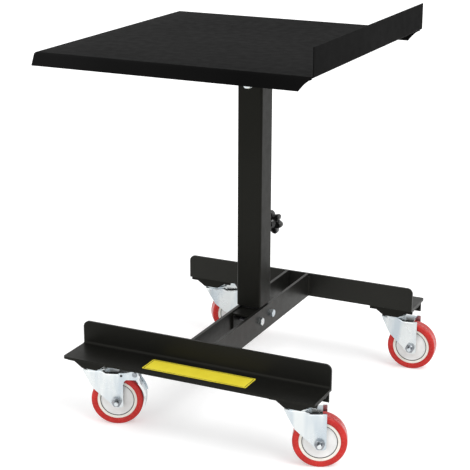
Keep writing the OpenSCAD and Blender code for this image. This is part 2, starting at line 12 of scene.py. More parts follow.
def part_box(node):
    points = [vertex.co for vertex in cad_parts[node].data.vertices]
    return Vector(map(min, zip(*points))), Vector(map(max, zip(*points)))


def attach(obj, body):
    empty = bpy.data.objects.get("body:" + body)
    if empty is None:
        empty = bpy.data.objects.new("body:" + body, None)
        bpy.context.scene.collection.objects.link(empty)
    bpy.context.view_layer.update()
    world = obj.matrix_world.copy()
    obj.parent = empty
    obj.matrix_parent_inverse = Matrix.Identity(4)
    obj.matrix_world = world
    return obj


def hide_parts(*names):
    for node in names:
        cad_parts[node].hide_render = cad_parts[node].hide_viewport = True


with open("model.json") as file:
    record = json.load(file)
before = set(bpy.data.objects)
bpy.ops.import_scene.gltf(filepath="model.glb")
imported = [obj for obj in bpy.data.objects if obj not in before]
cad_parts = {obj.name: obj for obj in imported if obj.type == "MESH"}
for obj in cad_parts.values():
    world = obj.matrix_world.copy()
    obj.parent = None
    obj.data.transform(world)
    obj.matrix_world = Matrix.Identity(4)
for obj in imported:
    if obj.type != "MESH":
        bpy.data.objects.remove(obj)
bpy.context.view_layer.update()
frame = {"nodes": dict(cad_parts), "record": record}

MM = 0.001
CORNERS = ("front_right", "front_left", "rear_right", "rear_left")
BRAKED = ("front_left", "rear_left")


# ---------- the frame's measures ----------

def span(node):
    """Lowest and highest corner of a CAD node as vectors."""
    low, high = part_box(node)
    return Vector(low), Vector(high)


def middle(node):
    """Centre of a CAD node's box."""
    low, high = span(node)
    return (low + high) / 2


def joint(name):
    """The record's entry of a joint."""
    return next(j for j in frame["record"]["behaviour"]["joints"] if j["name"] == name)


def mount(name):
    """The place of one of the record's mounts."""
    return Vector(next(m for m in frame["record"]["mounts"] if m["name"] == name)["pos_m"])


# ---------- outlines ----------

def fillet(points, radii, steps):
    """A closed outline with round corners; there is a radius for each corner."""
    count = len(points)
    result = []
    for i in range(count):
        corner = Vector(points[i])
        back = (Vector(points[i - 1]) - corner).normalized()
        ahead = (Vector(points[(i + 1) % count]) - corner).normalized()
        half = back.angle(ahead) / 2
        reach = radii[i] / math.tan(half)
        centre = corner + (back + ahead).normalized() * radii[i] / math.sin(half)
        first = corner + back * reach - centre
        last = corner + ahead * reach - centre
        start = math.atan2(first.y, first.x)
        sweep = math.atan2(first.x * last.y - first.y * last.x, first.dot(last))
        for k in range(steps + 1):
            angle = start + sweep * k / steps
            result.append((centre.x + radii[i] * math.cos(angle), centre.y + radii[i] * math.sin(angle)))
    return result


def rectangle(half_x, half_y):
    """The corners of a rectangle about the origin."""
    return [(-half_x, -half_y), (half_x, -half_y), (half_x, half_y), (-half_x, half_y)]


def mix(a, b, t):
    """The value at share t of the way from a to b."""
    return a + (b - a) * t


def circle(radius, z, steps):
    """A level ring of points about Z."""
    angles = [math.tau * i / steps for i in range(steps)]
    return [(radius * math.cos(angle), radius * math.sin(angle), z) for angle in angles]


def mirrored(side):
    """An outline of (radius, width) points that goes on from +width to -width."""
    return side + [(radius, -width) for radius, width in reversed(side)]


# ---------- solids ----------

# Faces that meet at less than this count as one flat face
FLAT_ANGLE = math.radians(0.5)
# Points of two skins that lie closer than this are one point
SEAM_REACH = 0.02 * MM


def prism(outline, low, high, holes=()):
    """A flat plate with an outline and holes in XY, from low to high along Z."""
    bm = bmesh.new()
    loops = [outline, *holes]
    spots = [point for loop in loops for point in loop]
    lower = [bm.verts.new((x, y, low)) for x, y in spots]
    upper = [bm.verts.new((x, y, high)) for x, y in spots]
    for tri in tessellate_polygon([[Vector((x, y, 0)) for x, y in loop] for loop in loops]):
        bm.faces.new([lower[i] for i in tri])
        bm.faces.new([upper[i] for i in reversed(tri)])
    start = 0
    for loop in loops:
        for i in range(len(loop)):
            a = start + i
            b = start + (i + 1) % len(loop)
            bm.faces.new((lower[a], lower[b], upper[b], upper[a]))
        start += len(loop)
    bmesh.ops.dissolve_limit(bm, angle_limit=FLAT_ANGLE, verts=bm.verts, edges=bm.edges)
    bmesh.ops.recalc_face_normals(bm, faces=bm.faces)
    return bm


def loft(rings, closed=False):
    """A solid through rings of equally many points; a closed one runs back to its first ring."""
    bm = bmesh.new()
    rows = [[bm.verts.new(point) for point in row] for row in rings]
    count = len(rows[0])
    for a, b in zip(rows, rows[1:] + (rows[:1] if closed else [])):
        for i in range(count):
            j = (i + 1) % count
            bm.faces.new((a[i], a[j], b[j], b[i]))
    if not closed:
        bm.faces.new(rows[0])
        bm.faces.new(rows[-1])
    bmesh.ops.recalc_face_normals(bm, faces=bm.faces)
    return bm


def lathe(outline, steps, closed=True):
    """A solid of revolution about Z; the outline's points are (radius, height)."""
    return loft([circle(radius, z, steps) for radius, z in outline], closed=closed)


def sheet_grid(rows):
    """An open skin through rows of points."""
    bm = bmesh.new()
    lines = [[bm.verts.new(point) for point in row] for row in rows]
    for a, b in zip(lines, lines[1:]):
        for i in range(len(a) - 1):
            bm.faces.new((a[i], a[i + 1], b[i + 1], b[i]))
    return bm


def seal_skin(bm, top_face):
    """Joins the seams of open skins, and turns the face that has the highest key upward."""
    bmesh.ops.remove_doubles(bm, verts=bm.verts, dist=SEAM_REACH)
    bmesh.ops.recalc_face_normals(bm, faces=bm.faces)
    if max(bm.faces, key=top_face).normal.z < 0:
        bmesh.ops.reverse_faces(bm, faces=bm.faces)


def joined(parts):
    """Several solids as one; each part may be a solid or a (solid, matrix) pair."""
    whole = bmesh.new()
    for part in parts:
        bm, place = part if isinstance(part, tuple) else (part, None)
        if place is not None:
            bmesh.ops.transform(bm, matrix=place, verts=bm.verts)
        mesh = bpy.data.meshes.new("part")
        bm.to_mesh(mesh)
        bm.free()
        whole.from_mesh(mesh)
        bpy.data.meshes.remove(mesh)
    return whole


def shift(x, y, z):
    """Matrix that moves a solid."""
    return Matrix.Translation((x, y, z))


def turn(degrees, axis):
    """Matrix that turns a solid about an axis through the origin."""
    return Matrix.Rotation(math.radians(degrees), 4, axis)


# Matrices that turn a solid's +Z towards another axis
TO_FRONT = turn(90, "X")
TO_REAR = turn(-90, "X")
TO_RIGHT = turn(90, "Y")
TO_LEFT = turn(-90, "Y")


# ---------- pieces ----------

# Points of a CAD mesh that lie closer than this are one point
WELD_REACH = 0.01 * MM
# Facets of a CAD mesh that meet at less than this become one face
FACET_ANGLE = math.radians(0.8)
# Edges sharper than this are rounded
EDGE_ANGLE = math.radians(38)


def soften(obj, width, weld=False):
    """Rounds sharp edges by a bevel; weld first joins the facets of a CAD mesh."""
    if weld:
        obj.modifiers.new("weld", "WELD").merge_threshold = WELD_REACH
        flat = obj.modifiers.new("flat", "DECIMATE")
        flat.decimate_type = "DISSOLVE"
        flat.angle_limit = FACET_ANGLE
    bevel = obj.modifiers.new("edges", "BEVEL")
    bevel.width = width
    bevel.segments = 2
    bevel.limit_method = "ANGLE"
    bevel.angle_limit = EDGE_ANGLE
    bevel.miter_outer = "MITER_ARC"
    bevel.harden_normals = True


def piece(name, bm, material, body, nodes=(), place=None, edge=0.0, sheet=0.0, sharp=50):
    """Makes an object of a solid, ties it to its body and hides the CAD nodes it stands for.

    edge is the width of its rounded edges, or else sharp is the angle in degrees from which edges
    stay sharp. sheet is the thickness that an open skin gets.
    """
    if place is not None:
        bmesh.ops.transform(bm, matrix=place, verts=bm.verts)
    mesh = bpy.data.meshes.new(name)
    bm.to_mesh(mesh)
    bm.free()
    obj = bpy.data.objects.new(name, mesh)
    bpy.context.scene.collection.objects.link(obj)
    mesh.materials.append(material)
    mesh.shade_smooth()
    if sheet:
        solid = obj.modifiers.new("sheet", "SOLIDIFY")
        solid.thickness = sheet
        solid.offset = -1
        solid.use_even_offset = True
    if edge:
        soften(obj, edge)
    else:
        mesh.set_sharp_from_angle(angle=math.radians(sharp))
    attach(obj, body)
    if nodes:
        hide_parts(*nodes)


def keep(node, material, edge):
    """Finishes a CAD node that stays: its material and softly broken edges."""
    obj = frame["nodes"][node]
    obj.data.materials.clear()
    obj.data.materials.append(material)
    soften(obj, edge, weld=True)


# ---------- materials ----------

class Nodes:
    """Adds shader nodes to a new material and links them."""

    def __init__(self, name):
        self.material = bpy.data.materials.new(name)
        self.material.use_nodes = True
        self.tree = self.material.node_tree
        self.shader = self.tree.nodes["Principled BSDF"]
        self.place = self.add("ShaderNodeTexCoord").outputs["Object"]

    def add(self, kind, **values):
        """A new node with some of its inputs set."""
        node = self.tree.nodes.new(kind)
        for key, value in values.items():
            node.inputs[key].default_value = value
        return node

    def link(self, a, b):
        """Joins an output to an input."""
        self.tree.links.new(a, b)

    def noise(self, scale, detail=2.0, rough=0.5, upright=1.0):
        """Noise about 1 / scale metres in size; upright under 1 draws it out along Z."""
        node = self.add("ShaderNodeTexNoise", Scale=scale, Detail=detail, Roughness=rough)
        spread = self.add("ShaderNodeMapping", Scale=(1, 1, upright))
        self.link(self.place, spread.inputs["Vector"])
        self.link(spread.outputs["Vector"], node.inputs["Vector"])
        return node.outputs["Fac"]

    def ramp(self, source, low, high, start=0.35, end=0.65):
        """Spreads a factor over two colours, or over two greys."""
        node = self.add("ShaderNodeValToRGB")
        for element, colour, spot in zip(node.color_ramp.elements, (low, high), (start, end)):
            element.position = spot
            element.color = colour if isinstance(colour, tuple) else (colour, colour, colour, 1)
        self.link(source, node.inputs["Fac"])
        return node.outputs["Color"]

    def set(self, **values):
        """Sets uniform inputs of the shader; an underscore stands for a space."""
        for key, value in values.items():
            self.shader.inputs[key.replace("_", " ")].default_value = value

    def colour(self, source, low, high, start=0.35, end=0.65):
        """Base colour between two colours."""
        self.link(self.ramp(source, (*low, 1), (*high, 1), start, end), self.shader.inputs["Base Color"])

    def rough(self, source, low, high):
        """Roughness between two values."""
        self.link(self.ramp(source, low, high), self.shader.inputs["Roughness"])

    def bump(self, source, strength, distance):
        """Fine relief of the surface."""
        node = self.add("ShaderNodeBump", Strength=strength, Distance=distance)
        self.link(source, node.inputs["Height"])
        self.link(node.outputs["Normal"], self.shader.inputs["Normal"])


def powder_coat(name, gloss, rough, dark, light, peel, warmth):
    """Black powder coat: fine orange peel, slightly uneven gloss; warmth under 1 yellows the shine."""
    spread = 0.03
    n = Nodes(name)
    n.set(Specular_IOR_Level=gloss, Specular_Tint=(1.0, 1.0, warmth, 1.0))
    n.colour(n.noise(scale=2.5), dark, light)
    n.rough(n.noise(scale=60, detail=3), rough - spread, rough + spread)
    n.bump(n.noise(scale=1400, rough=0.6), strength=peel, distance=0.2 * MM)
    return n.material


def enamel():
    """Smooth black enamel of the sliding post."""
    n = Nodes("enamel")
    n.set(Specular_IOR_Level=0.4)
    n.colour(n.noise(scale=14, detail=3), low=(0.010, 0.010, 0.010), high=(0.017, 0.017, 0.016))
    n.rough(n.noise(scale=90, detail=3), low=0.26, high=0.38)
    n.bump(n.noise(scale=500), strength=0.05, distance=0.1 * MM)
    return n.material


def zinc():
    """Bright zinc plate over pressed steel, with soft upright bands of painted reflection and shade."""
    n = Nodes("zinc")
    n.set(Metallic=1.0)
    # Upright bands of lighter and darker zinc colour: painted reflections and shade, as on curved cheeks
    painted_reflection_bands = n.noise(scale=42, upright=0.18)
    n.colour(painted_reflection_bands, low=(0.51, 0.57, 0.61), high=(0.69, 0.72, 0.72), start=0.36, end=0.58)
    n.rough(n.noise(scale=30), low=0.24, high=0.34)
    n.bump(n.noise(scale=300), strength=0.015, distance=0.1 * MM)
    return n.material


def shaded_metal(name, dark, light, smooth, rough):
    """Darkened metal of nuts, washers and screws, with a fine grain; the darkness is painted shade."""
    n = Nodes(name)
    n.set(Metallic=1.0)
    n.colour(n.noise(scale=160, detail=4), dark, light)
    n.rough(n.noise(scale=300, detail=3), smooth, rough)
    n.bump(n.noise(scale=1500), strength=0.06, distance=0.1 * MM)
    return n.material


def polyurethane():
    """Glossy cast red tyre, slightly cloudy, with fine moulding marks."""
    n = Nodes("polyurethane")
    n.set(Specular_IOR_Level=0.22, Coat_Weight=0.12, Coat_Roughness=0.05)
    n.colour(n.noise(scale=30, detail=3), low=(0.44, 0.016, 0.013), high=(0.55, 0.025, 0.020))
    n.rough(n.noise(scale=220, detail=3), low=0.20, high=0.32)
    n.bump(n.noise(scale=700), strength=0.05, distance=0.2 * MM)
    return n.material


def moulding(name, dark, light, smooth=0.34, rough=0.46):
    """Moulded plastic with a faint grain."""
    n = Nodes(name)
    n.colour(n.noise(scale=50, detail=4), dark, light)
    n.rough(n.noise(scale=260, detail=3), smooth, rough)
    n.bump(n.noise(scale=1300), strength=0.08, distance=0.1 * MM)
    return n.material


def film():
    """Blank printed film: yellow with slight fading."""
    n = Nodes("film")
    n.colour(n.noise(scale=25, detail=3), low=(0.84, 0.70, 0.034), high=(0.92, 0.78, 0.052))
    n.rough(n.noise(scale=150), low=0.30, high=0.40)
    n.bump(n.noise(scale=300), strength=0.04, distance=0.1 * MM)
    return n.material


POWDER = powder_coat(
    "powder_frame", gloss=0.11, rough=0.41, peel=0.12, warmth=0.88,
    dark=(0.005, 0.005, 0.004), light=(0.009, 0.009, 0.008),
)
# Lighter copy of the black frame powder coat for the rear leg and the rails: painted light on faces that
# catch more light
LIT_POWDER = powder_coat(
    "powder_painted_light", gloss=0.20, rough=0.38, peel=0.12, warmth=0.90,
    dark=(0.008, 0.008, 0.007), light=(0.012, 0.012, 0.011),
)
TRAY_COAT = powder_coat(
    "powder_tray", gloss=0.010, rough=0.58, peel=0.03, warmth=1.0,
    dark=(0.004, 0.004, 0.004), light=(0.009, 0.009, 0.009),
)
ENAMEL = enamel()
ZINC = zinc()
# Darker copy of the zinc: painted shade on the axle nuts and bolts, rivets, kingpins, the pivot nut and the
# height stud
SHADED_ZINC = shaded_metal(
    "zinc_painted_shade", dark=(0.20, 0.22, 0.24), light=(0.34, 0.36, 0.38), smooth=0.24, rough=0.36,
)
# Near-black copy of the fastener metal: painted shade on the caster plate screws and on the bolt shafts and
# nuts between the rails
SHADOWED_STEEL = shaded_metal(
    "steel_painted_shadow", dark=(0.05, 0.05, 0.055), light=(0.10, 0.10, 0.105), smooth=0.3, rough=0.45,
)
RED = polyurethane()
CREAM = moulding("cream_nylon", dark=(0.78, 0.75, 0.68), light=(0.86, 0.84, 0.77))
GREY = moulding("grey_guard", dark=(0.72, 0.72, 0.71), light=(0.80, 0.80, 0.79))
BLACK = moulding(
    "black_phenolic", dark=(0.004, 0.004, 0.004), light=(0.008, 0.008, 0.008), smooth=0.14, rough=0.22,
)
# Near-black used as painted shade: the rings in the wheel grooves, the brake tongue's colour and the dark
# discs on braked cheeks
SHADE_BLACK = moulding(
    "black_painted_shade", dark=(0.012, 0.012, 0.012), light=(0.02, 0.02, 0.02), smooth=0.5, rough=0.6,
)
YELLOW = film()
INK = moulding("ink", dark=(0.012, 0.012, 0.012), light=(0.02, 0.02, 0.018), smooth=0.4, rough=0.5)


# ---------- fasteners ----------

BOLT_R = 5 * MM
HEX_ACROSS = 17 * MM
FOOT_ACROSS = 14.5 * MM
SCREW_ACROSS = 13 * MM
HEX_HEAD = 6.4 * MM
HEX_NUT = 8 * MM
HEX_STEPS = 72
# Share of a head's half width that stays flat inside its chamfer
HEX_FLAT = 0.93
HEX_SLOPE = math.tan(math.radians(30))
WASHER_R = 10 * MM
WASHER = 1.6 * MM
THREAD_PITCH = 1.5 * MM
THREAD_DEPTH = 0.55 * MM
THREAD_STEPS = 32
ROWS_PER_TURN = 4
TIP_CHAMFER = 0.7 * MM
# Edges sharper than this stay sharp on turned and hexagonal parts
FASTENER_SHARP = 28


def hexagon(across, height, base=0.0, chamfer_both=False):
    """A hexagonal head or nut along +Z whose corners are cut back by a cone."""
    inner = across / 2
    flat = inner * HEX_FLAT
    angles = [math.tau * i / HEX_STEPS for i in range(HEX_STEPS)]
    reaches = [inner / math.cos(angle % (math.pi / 3) - math.pi / 6) for angle in angles]
    falls = [(reach - flat) * HEX_SLOPE for reach in reaches]
    starts = falls if chamfer_both else [0.0] * HEX_STEPS
    lower = [
        (r * math.cos(angle), r * math.sin(angle), base + z) for angle, r, z in zip(angles, reaches, starts)
    ]
    upper = [
        (r * math.cos(angle), r * math.sin(angle), base + height - fall)
        for angle, r, fall in zip(angles, reaches, falls)
    ]
    rings = [circle(flat, base, HEX_STEPS)] if chamfer_both else []
    rings += [lower, upper, circle(flat, base + height, HEX_STEPS)]
    return loft(rings)


def disc(radius, low, high, edge=0.3 * MM, steps=48):
    """A round bar or washer along Z with small chamfers."""
    return lathe([
        (radius - edge, low), (radius, low + edge), (radius, high - edge), (radius - edge, high),
    ], steps, closed=False)


def threaded(radius, low, high):
    """A threaded bar along Z with a chamfered top."""
    count = max(2, int((high - low) / THREAD_PITCH * ROWS_PER_TURN))
    rings = []
    for k in range(count + 1):
        z = mix(low, high, k / count)
        tip = 1 - min(1.0, (high - z) / THREAD_PITCH)
        row = []
        for i in range(THREAD_STEPS):
            phase = (z / THREAD_PITCH - i / THREAD_STEPS) % 1.0
            depth = THREAD_DEPTH * (1 - abs(2 * phase - 1))
            r = radius - depth - tip * TIP_CHAMFER
            angle = math.tau * i / THREAD_STEPS
            row.append((r * math.cos(angle), r * math.sin(angle), z))
        rings.append(row)
    return loft(rings)


def washer_and_nut(at):
    """A washer with a nut on it, along the matrix's +Z."""
    washer = [(BOLT_R, 0), (WASHER_R, 0), (WASHER_R, WASHER), (BOLT_R, WASHER)]
    nut = hexagon(HEX_ACROSS, HEX_NUT, WASHER, chamfer_both=True)
    return [(lathe(washer, steps=48), at), (nut, at)]


# ---------- tray ----------

SHEET = 2 * MM
BEND_INSIDE = 2.5 * MM
BEND = BEND_INSIDE + SHEET
LEAN = math.radians(16)
# The long flanges run out at the lip along a curve: its length, its power, and the least share
# of its length that a column of points stands for
RUNOUT = 23.5 * MM
RUNOUT_POWER = 1.5
RUNOUT_LEAST = 0.002
RUNOUT_STEPS = 8
ARC_STEPS = 6
GRID = 12

TRAY_LOW, TRAY_HIGH = span("tray")
TRAY_TOP = mount("tray_face").z
FRONT_BEND = TRAY_LOW.y + BEND
REAR_BEND = TRAY_HIGH.y - BEND
RIGHT_BEND = TRAY_HIGH.x - BEND
# Straight part of an upright flange, and of the leaning one, below its bend
STRAIGHT = TRAY_TOP - TRAY_LOW.z - BEND
LEANING = (TRAY_TOP - TRAY_LOW.z - BEND * (1 - math.sin(LEAN))) / math.cos(LEAN)
LEFT_BEND = TRAY_LOW.x + BEND * math.cos(LEAN) + LEANING * math.sin(LEAN)


def flange_profile(tilt, length):
    """Outward reach and height from the bend's start down to the flange's edge."""
    points = []
    for k in range(ARC_STEPS + 1):
        angle = mix(math.pi / 2, tilt, k / ARC_STEPS)
        points.append((BEND * math.cos(angle), TRAY_TOP - BEND + BEND * math.sin(angle)))
    out, z = points[-1]
    for share in (0.04, 0.5, 1.0):
        fall = length * share
        points.append((out + fall * math.sin(tilt), z - fall * math.cos(tilt)))
    return points


def flange_run(side):
    """Columns of a long flange, from its right end to the mitred corner at its left end."""
    y = REAR_BEND if side > 0 else FRONT_BEND
    columns = []
    for k in range(RUNOUT_STEPS + 1):
        share = k / RUNOUT_STEPS
        x = RIGHT_BEND - RUNOUT * share
        depth = STRAIGHT * max(share, RUNOUT_LEAST) ** RUNOUT_POWER
        columns.append([(x, y + side * out, z) for out, z in flange_profile(0.0, depth)])
    full = flange_profile(0.0, STRAIGHT)
    for k in range(1, GRID):
        x = mix(RIGHT_BEND - RUNOUT, LEFT_BEND, k / GRID)
        columns.append([(x, y + side * out, z) for out, z in full])
    leaning = flange_profile(LEAN, LEANING)
    columns.append([
        (LEFT_BEND - reach, y + side * out, z) for (out, z), (reach, _) in zip(full, leaning)
    ])
    return columns


def leaning_run():
    """Columns of the leaning left flange, between its two corners."""
    leaning = flange_profile(LEAN, LEANING)
    return [
        [(LEFT_BEND - out, mix(FRONT_BEND, REAR_BEND, k / GRID), z) for out, z in leaning]
        for k in range(1, GRID)
    ]


def lip():
    """The lip rises from the flat along a bend of the inside radius."""
    section = []
    for k in range(ARC_STEPS + 1):
        angle = mix(-math.pi / 2, 0, k / ARC_STEPS)
        section.append((
            RIGHT_BEND + BEND_INSIDE * math.cos(angle),
            TRAY_TOP + BEND_INSIDE + BEND_INSIDE * math.sin(angle),
        ))
    for share in (0.5, 1.0):
        section.append((RIGHT_BEND + BEND_INSIDE, mix(TRAY_TOP + BEND_INSIDE, TRAY_HIGH.z, share)))
    between = [mix(FRONT_BEND, REAR_BEND, k / GRID) for k in range(GRID + 1)]
    across = [TRAY_LOW.y, *between, TRAY_HIGH.y]
    return sheet_grid([[(x, y, z) for x, z in section] for y in across])


def flat_top():
    """The flat as a grid between the bends' first lines."""
    along = [mix(LEFT_BEND, RIGHT_BEND, k / GRID) for k in range(GRID + 1)]
    across = [mix(FRONT_BEND, REAR_BEND, k / GRID) for k in range(GRID + 1)]
    return sheet_grid([[(x, y, TRAY_TOP) for x in along] for y in across])


def tray_skin():
    """The tray's outer skin: flat top, three turned-down flanges, and the lip on the right."""
    flanges = sheet_grid(flange_run(-1) + leaning_run() + flange_run(1)[::-1])
    bm = joined([flanges, lip(), flat_top()])
    seal_skin(bm, lambda face: face.calc_area())
    return bm


piece("tray_pan", tray_skin(), TRAY_COAT, "tray", ["tray"], sheet=SHEET, edge=0.5 * MM)
keep("tilt_saddle", POWDER, 0.6 * MM)


# ---------- column ----------

keep("outer_post", POWDER, 0.5 * MM)
keep("inner_post", ENAMEL, 0.4 * MM)
keep("stud_boss", POWDER, 0.6 * MM)
keep("lower_sleeve", BLACK, 0.2 * MM)
keep("inner_post_cap", BLACK, 0.8 * MM)


def cross_bolt(name, node):
    """A hexagon bolt along +Y with its washer and head at the front."""
    low, high = span(node)
    centre = middle(node)
    head = low.y + HEX_HEAD
    parts = [
        (hexagon(HEX_ACROSS, HEX_HEAD), shift(centre.x, head, centre.z) @ TO_FRONT),
        (disc(WASHER_R, 0, WASHER), shift(centre.x, head + WASHER, centre.z) @ TO_FRONT),
        (threaded(BOLT_R, 0, high.y - head - WASHER), shift(centre.x, head + WASHER, centre.z) @ TO_REAR),
    ]
    piece(name, joined(parts), ZINC, "column", [node], sharp=FASTENER_SHARP)


cross_bolt("pivot_bolt_detail", "pivot_bolt")
cross_bolt("clamp_bolt_detail", "clamp_bolt")


def pivot_nut():
    """Washer and nut at the rear end of the pivot bolt."""
    low, _ = span("pivot_nut")
    centre = middle("pivot_nut")
    parts = washer_and_nut(shift(centre.x, low.y, centre.z) @ TO_REAR)
    piece("pivot_nut_detail", joined(parts), SHADED_ZINC, "column", ["pivot_nut"],
          sharp=FASTENER_SHARP)


pivot_nut()


# ---------- clamp knobs ----------

LOBES = 7
# The lobes reach no further than this; the hub stands in front of the star's thickness
KNOB_R = 25.7 * MM
KNOB_THICK = 16 * MM
KNOB_STEPS = 168
# Radius between the lobes as a share of the radius over them, and how blunt the lobes are
KNOB_WAIST = 0.70
LOBE_POWER = 0.55
# Edge of the star: share of its size, and height above its front face in millimetres
KNOB_EDGE = (
    (0.80, 0.2), (0.90, 0.5), (0.96, 1.3), (0.99, 2.6), (1.0, 5.0),
    (1.0, 10.5), (0.985, 13.0), (0.95, 14.6), (0.88, 15.5), (0.78, 16.0),
)
# Recessed cap in the rear face, in the same terms
KNOB_CAP = ((0.42, 16.0), (0.36, 15.4), (0.33, 14.4), (0.12, 14.2))


def star_row(outer, z):
    """A level ring of points with seven lobes."""
    points = []
    for i in range(KNOB_STEPS):
        angle = math.tau * i / KNOB_STEPS
        wave = 0.5 + 0.5 * math.cos(LOBES * angle)
        r = outer * mix(KNOB_WAIST, 1.0, wave ** LOBE_POWER)
        points.append((r * math.cos(angle), r * math.sin(angle), z))
    return points


def star_knob(name, phase):
    """Moulded knob with a hub towards the front and a recessed cap at the rear, turned by the phase."""
    low, high = span(name)
    centre = joint(name + "_turn")["pos_m"]
    outer = min((high.x - low.x) / 2, KNOB_R)
    hub = high.y - low.y - KNOB_THICK
    hub_edge = (
        (0.30, -hub), (0.34, -hub + 0.4 * MM), (0.38, -hub + 1.2 * MM), (0.42, -1.5 * MM), (0.50, -0.2 * MM),
    )
    rings = [circle(outer * share, z, KNOB_STEPS) for share, z in hub_edge]
    rings += [star_row(outer * share, z * MM) for share, z in KNOB_EDGE]
    rings += [circle(outer * share, z * MM, KNOB_STEPS) for share, z in KNOB_CAP]
    at = shift(centre[0], high.y - KNOB_THICK, centre[2]) @ TO_REAR @ turn(phase, "Z")
    piece(name + "_moulded", loft(rings), BLACK, name, [name], place=at, sharp=70)


star_knob("height_knob", 9)
star_knob("tilt_knob", -20)


def height_stud():
    """Threaded stud of the height knob."""
    low, high = span("height_stud")
    centre = middle("height_stud")
    at = shift(centre.x, low.y, centre.z) @ TO_REAR
    bar = threaded(BOLT_R, 0, high.y - low.y)
    piece("height_stud_threaded", bar, SHADED_ZINC, "height_knob", ["height_stud"], place=at,
          sharp=FASTENER_SHARP)


height_stud()


# ---------- base ----------

keep("front_leg", POWDER, 1.0 * MM)
# The rear leg and the rails take the lighter powder copy, which is painted light
keep("rear_leg", LIT_POWDER, 1.0 * MM)
for name in ("left_rail", "right_rail"):
    keep(name, LIT_POWDER, 0.7 * MM)
keep("post_foot", POWDER, 0.8 * MM)

LEG_PLATE = 4.8 * MM
LEG_BEND = 5 * MM
# The bend stops this far before the leg's ends
LEG_END = 0.5 * MM


def leg_bend(name, side, coat):
    """The round inside of a leg's angle steel, along its length."""
    low, high = span(name)
    face_y = (high.y if side < 0 else low.y) + side * LEG_PLATE
    top = low.z + LEG_PLATE
    section = [(0, 0), (LEG_BEND, 0)]
    for k in range(1, 8):
        angle = math.radians(-90 - 90 * k / 8)
        section.append((LEG_BEND + LEG_BEND * math.cos(angle), LEG_BEND + LEG_BEND * math.sin(angle)))
    section.append((0, LEG_BEND))
    rings = [
        [(x, face_y + side * out, top + up) for out, up in section]
        for x in (low.x + LEG_END, high.x - LEG_END)
    ]
    piece(name + "_bend", loft(rings), coat, "base", sharp=40)


leg_bend("front_leg", -1, POWDER)
leg_bend("rear_leg", 1, LIT_POWDER)


BEAD_ROWS = 92
# Rows from one ripple of a weld bead to the next, and rows over which its ends swell
RIPPLE_ROWS = 6.2
SWELL_ROWS = 4
BEAD_SIZE = 3.3 * MM
RIPPLE = 0.6 * MM


def weld_row(sx, sy, corner_x, corner_y, z, size):
    """One level row of a bead in the corner that lies on the sx and sy side."""
    row = [(sx * corner_x, sy * corner_y, z)]
    for i in range(7):
        angle = math.radians(90 * i / 6)
        bulge = 1.0 if i in (0, 6) else 0.78 + 0.12 * math.sin(2 * angle)
        row.append((
            sx * (corner_x + size * bulge * math.cos(angle)),
            sy * (corner_y - size * bulge * math.sin(angle)),
            z,
        ))
    return row


def weld_beads():
    """Rippled beads in the corners between the rails' ends and the legs."""
    low, high = span("rail_welds")
    _, corner = span("right_rail")
    parts = []
    for sx in (-1, 1):
        for sy in (-1, 1):
            rings = []
            for k in range(BEAD_ROWS + 1):
                ripple = 0.5 + 0.5 * math.cos(k * math.tau / RIPPLE_ROWS)
                swell = min(1.0, 0.35 + min(k, BEAD_ROWS - k) / SWELL_ROWS)
                z = mix(low.z, high.z, k / BEAD_ROWS)
                rings.append(weld_row(sx, sy, corner.x, corner.y, z, (BEAD_SIZE + RIPPLE * ripple) * swell))
            parts.append(loft(rings))
    piece("rail_weld_beads", joined(parts), POWDER, "base", ["rail_welds"], sharp=60)


weld_beads()


def foot_fasteners():
    """Two hexagon bolts through the rails, with washers and nuts on the far side."""
    low, high = span("foot_bolts")
    nut_low, nut_high = span("foot_nuts")
    z = middle("foot_nuts").z
    half_pitch = (nut_high.y - nut_low.y) / 2 - WASHER_R
    head = high.x - HEX_HEAD
    bolts = []
    shafts = []
    nuts = []
    for side in (-1, 1):
        y = side * half_pitch
        hex_turn = turn(12 * side, "Z")
        bolts.append((hexagon(FOOT_ACROSS, HEX_HEAD), shift(head, y, z) @ TO_RIGHT @ hex_turn))
        shafts.append((threaded(BOLT_R, 0, head - low.x), shift(head, y, z) @ TO_LEFT))
        nuts += washer_and_nut(shift(nut_high.x, y, z) @ TO_LEFT)
    piece("foot_bolts_detail", joined(bolts), ZINC, "base", ["foot_bolts"], sharp=FASTENER_SHARP)
    # The shafts and nuts between the rails take the near-black metal, painted shade
    piece("foot_shafts", joined(shafts), SHADOWED_STEEL, "base", sharp=FASTENER_SHARP)
    piece("foot_nuts_detail", joined(nuts), SHADOWED_STEEL, "base", ["foot_nuts"], sharp=FASTENER_SHARP)


foot_fasteners()


# ---------- blank label ----------

FILM_CORNER = 3 * MM
BORDER_INSET = 2.5 * MM
BORDER = 1.2 * MM
BORDER_CORNER = 1.5 * MM
BORDER_INNER_CORNER = 1 * MM
# The film stays this far below the CAD label's top, which leaves room for the border
FILM_DOWN = 0.05 * MM
# The border's underside lies this deep in the film
BORDER_SUNK = 0.02 * MM


def label():
    """Blank yellow film with a thin printed border."""
    low, high = span("blank_label")
    centre = middle("blank_label")
    half_x = (high.x - low.x) / 2
    half_y = (high.y - low.y) / 2
    top = high.z - low.z
    film_top = top - FILM_DOWN
    at = shift(centre.x, centre.y, low.z)
    sheet = prism(fillet(rectangle(half_x, half_y), [FILM_CORNER] * 4, 5), 0, film_top)
    piece("label_film", sheet, YELLOW, "base", ["blank_label"], place=at)
    inner = BORDER_INSET + BORDER
    outline = fillet(rectangle(half_x - BORDER_INSET, half_y - BORDER_INSET), [BORDER_CORNER] * 4, 4)
    hole = fillet(rectangle(half_x - inner, half_y - inner), [BORDER_INNER_CORNER] * 4, 4)
    border = prism(outline, film_top - BORDER_SUNK, top, [hole])
    piece("label_border", border, INK, "base", place=at)


label()


# ---------- casters ----------

for corner in CORNERS:
    keep("plate_" + corner, POWDER, 0.8 * MM)


